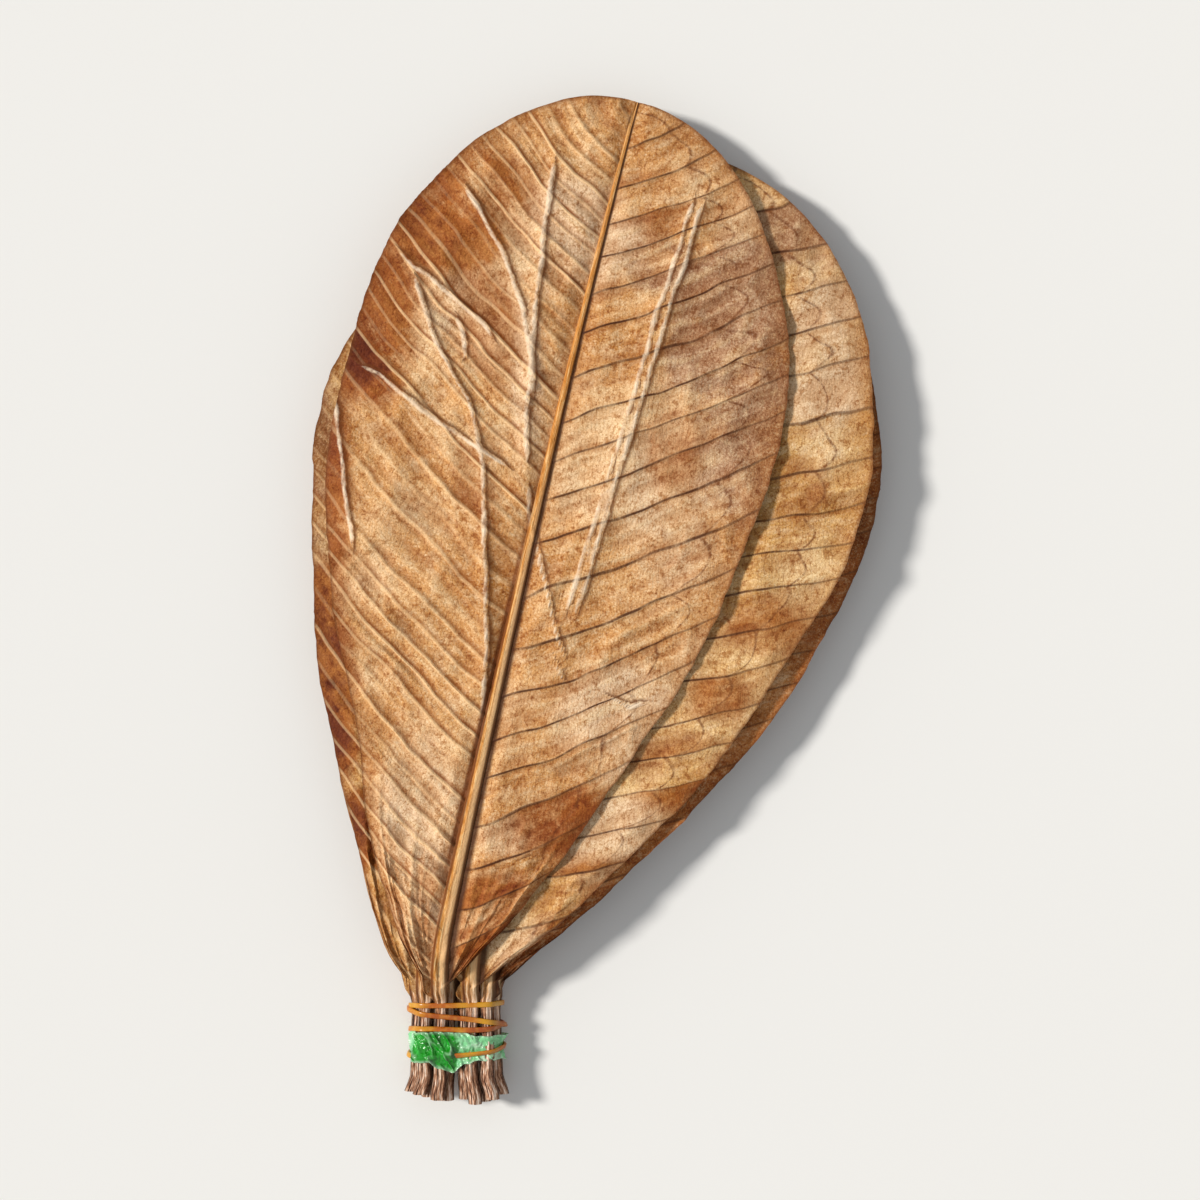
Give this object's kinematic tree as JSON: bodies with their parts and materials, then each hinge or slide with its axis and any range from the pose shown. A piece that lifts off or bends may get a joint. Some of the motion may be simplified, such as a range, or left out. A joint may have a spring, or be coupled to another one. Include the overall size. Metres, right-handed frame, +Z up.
{
  "type": "dried magnolia leaf bunch",
  "caption": "Flat fan of large dried magnolia leaves, midribs up, tied at their stalks with a strip of green film and a rubber band; used to wrap and grill food.",
  "frame": {"origin": "below the middle of the bunch's bounding box, on the surface that it lies on", "axes": "+Y from the cut stalks to the leaf tips, +Z up out of the leaves' undersides, which face up"},
  "size_m": [0.1596, 0.2858, 0.0199],
  "materials": {
    "dried_leaf": "dry, stiff leaf in tan and brown, with raised veins and a faint sheen",
    "green_film": "thin crumpled green plastic film, translucent",
    "rubber_band": "smooth amber rubber"
  },
  "bodies": {
    "root": {"leaf_01": "dried_leaf", "leaf_02": "dried_leaf", "leaf_03": "dried_leaf", "leaf_04": "dried_leaf", "leaf_05": "dried_leaf", "leaf_06": "dried_leaf", "leaf_07": "dried_leaf", "leaf_08": "dried_leaf", "leaf_09": "dried_leaf", "leaf_10": "dried_leaf", "green_film": "green_film", "rubber_band": "rubber_band"}
  },
  "joints": []
}
